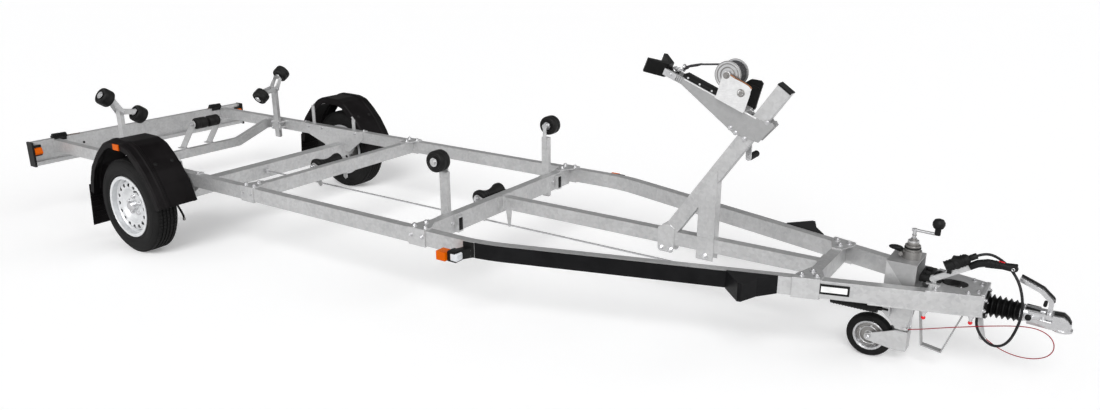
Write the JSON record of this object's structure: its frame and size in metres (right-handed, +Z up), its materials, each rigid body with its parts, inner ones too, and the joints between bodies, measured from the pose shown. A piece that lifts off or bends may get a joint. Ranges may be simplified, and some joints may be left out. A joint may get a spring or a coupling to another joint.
{
  "type": "boat trailer",
  "caption": "Single-axle boat trailer: galvanised V-nosed frame, keel and side rollers, winch stand, mudguards, light beam, braked ball coupling and jockey wheel.",
  "frame": {"origin": "on the floor, under the middle of the trailer's bounding box without its free cables", "axes": "+X forward to the ball coupling, +Y to the trailer's left, +Z up; the trailer is parked nose-down by 1.32 degrees on its road wheels and jockey wheel"},
  "size_m": [6.3314, 1.968, 1.2762],
  "materials": {
    "galvanised_tube": "hot-dip galvanised",
    "galvanised_plate": "hot-dip galvanised",
    "zinc_plated": "bright zinc",
    "wheel_rim_silver": "satin",
    "tyre_rubber": "matte",
    "roller_rubber": "satin",
    "black_plastic": "grained",
    "amber_lens": "glossy",
    "black_cable": "satin",
    "red_cable": "satin",
    "black_webbing": "woven"
  },
  "bodies": {
    "chassis": {"amber_lamps": "amber_lens", "axle_brackets": "galvanised_plate", "bellows": "roller_rubber", "bow_stop": "roller_rubber", "brake_rod": "galvanised_plate", "breakaway_cable": "red_cable", "centre_beam": "galvanised_tube", "coupling_handle": "zinc_plated", "coupling_head": "zinc_plated", "drawbar_head": "galvanised_plate", "dropped_crossbar": "galvanised_tube", "foot_hoop": "galvanised_plate", "frame_clamps": "galvanised_plate", "front_cross_member": "galvanised_tube", "front_marker_lamps": "black_plastic", "handbrake_lever": "zinc_plated", "jockey_crank": "zinc_plated", "jockey_sleeve": "zinc_plated", "keel_roller_brackets": "galvanised_plate", "light_beam": "galvanised_plate", "light_beam_caps": "black_plastic", "middle_cross_member": "galvanised_tube", "mudguard_stays": "galvanised_plate", "mudguards": "black_plastic", "post_clamps": "galvanised_plate", "power_cable": "black_cable", "power_plug": "black_plastic", "rear_cross_member": "galvanised_tube", "roller_posts": "galvanised_tube", "side_beam_left": "galvanised_tube", "side_beam_right": "galvanised_tube", "side_strips": "black_plastic", "tail_lamps": "black_plastic", "torsion_axle": "galvanised_tube", "winch_crank": "zinc_plated", "winch_drum": "zinc_plated", "winch_frame": "zinc_plated", "winch_head": "galvanised_plate", "winch_post": "galvanised_tube", "winch_post_brackets": "galvanised_plate", "winch_strap": "black_webbing"},
    "wheel_left": {"tyre_left": "tyre_rubber", "rim_left": "wheel_rim_silver"},
    "wheel_right": {"tyre_right": "tyre_rubber", "rim_right": "wheel_rim_silver"},
    "rocker_left": {"rocker_left": "galvanised_plate"},
    "rocker_right": {"rocker_right": "galvanised_plate"},
    "outer_roller_left": {"outer_roller_left": "roller_rubber"},
    "outer_roller_right": {"outer_roller_right": "roller_rubber"},
    "inner_roller_left": {"inner_roller_left": "roller_rubber"},
    "inner_roller_right": {"inner_roller_right": "roller_rubber"},
    "middle_roller_left": {"middle_roller_left": "roller_rubber"},
    "middle_roller_right": {"middle_roller_right": "roller_rubber"},
    "rear_keel_roller": {"rear_keel_roller": "roller_rubber"},
    "middle_keel_roller": {"middle_keel_roller": "roller_rubber"},
    "cradle_roller": {"cradle_roller": "roller_rubber"},
    "jockey_leg": {"jockey_leg": "zinc_plated"},
    "jockey_wheel": {"jockey_tyre": "tyre_rubber", "jockey_rim": "wheel_rim_silver"}
  },
  "joints": [
    {"name": "wheel_left_spin", "type": "hinge", "parent": "chassis", "child": "wheel_left", "pos_m": [-1.80164, 0.88, 0.298], "axis": [0, 1, 0], "continuous": true},
    {"name": "wheel_right_spin", "type": "hinge", "parent": "chassis", "child": "wheel_right", "pos_m": [-1.80164, -0.88, 0.298], "axis": [0, 1, 0], "continuous": true},
    {"name": "rocker_left_tilt", "type": "hinge", "parent": "chassis", "child": "rocker_left", "pos_m": [-2.31412, 0.6275, 0.76092], "axis": [0.9997, 0, -0.023], "range_deg": [-40, 0]},
    {"name": "outer_roller_left_spin", "type": "hinge", "parent": "rocker_left", "child": "outer_roller_left", "pos_m": [-2.31164, 0.70864, 0.86843], "axis": [0.0131, 0.8211, 0.5706], "continuous": true},
    {"name": "inner_roller_left_spin", "type": "hinge", "parent": "rocker_left", "child": "inner_roller_left", "pos_m": [-2.31501, 0.49842, 0.72237], "axis": [0.0131, 0.8211, 0.5706], "continuous": true},
    {"name": "rocker_right_tilt", "type": "hinge", "parent": "chassis", "child": "rocker_right", "pos_m": [-2.31343, -0.6275, 0.79091], "axis": [-0.9997, 0, 0.023], "range_deg": [-40, 0]},
    {"name": "outer_roller_right_spin", "type": "hinge", "parent": "rocker_right", "child": "outer_roller_right", "pos_m": [-2.31095, -0.70864, 0.89842], "axis": [0.0131, -0.8211, 0.5706], "continuous": true},
    {"name": "inner_roller_right_spin", "type": "hinge", "parent": "rocker_right", "child": "inner_roller_right", "pos_m": [-2.31432, -0.49842, 0.75236], "axis": [0.0131, -0.8211, 0.5706], "continuous": true},
    {"name": "middle_roller_left_spin", "type": "hinge", "parent": "chassis", "child": "middle_roller_left", "pos_m": [0.32408, 0.566, 0.73918], "axis": [0, 1, 0], "continuous": true},
    {"name": "middle_roller_right_spin", "type": "hinge", "parent": "chassis", "child": "middle_roller_right", "pos_m": [0.32408, -0.459, 0.73918], "axis": [0, 1, 0], "continuous": true},
    {"name": "rear_keel_roller_spin", "type": "hinge", "parent": "chassis", "child": "rear_keel_roller", "pos_m": [-1.02449, -0.03, 0.46916], "axis": [0, 1, 0], "continuous": true},
    {"name": "middle_keel_roller_spin", "type": "hinge", "parent": "chassis", "child": "middle_keel_roller", "pos_m": [0.28016, 0, 0.43912], "axis": [0, 1, 0], "continuous": true},
    {"name": "cradle_roller_spin", "type": "hinge", "parent": "chassis", "child": "cradle_roller", "pos_m": [-2.30951, -0.003, 0.61377], "axis": [0, 1, 0], "continuous": true},
    {"name": "jockey_leg_slide", "type": "slide", "parent": "chassis", "child": "jockey_leg", "axis": [-0.023, 0, -0.9997], "range_m": [0, 0.22]},
    {"name": "jockey_wheel_spin", "type": "hinge", "parent": "jockey_leg", "child": "jockey_wheel", "pos_m": [2.40992, 0, 0.1], "axis": [0, 1, 0], "continuous": true}
  ]
}
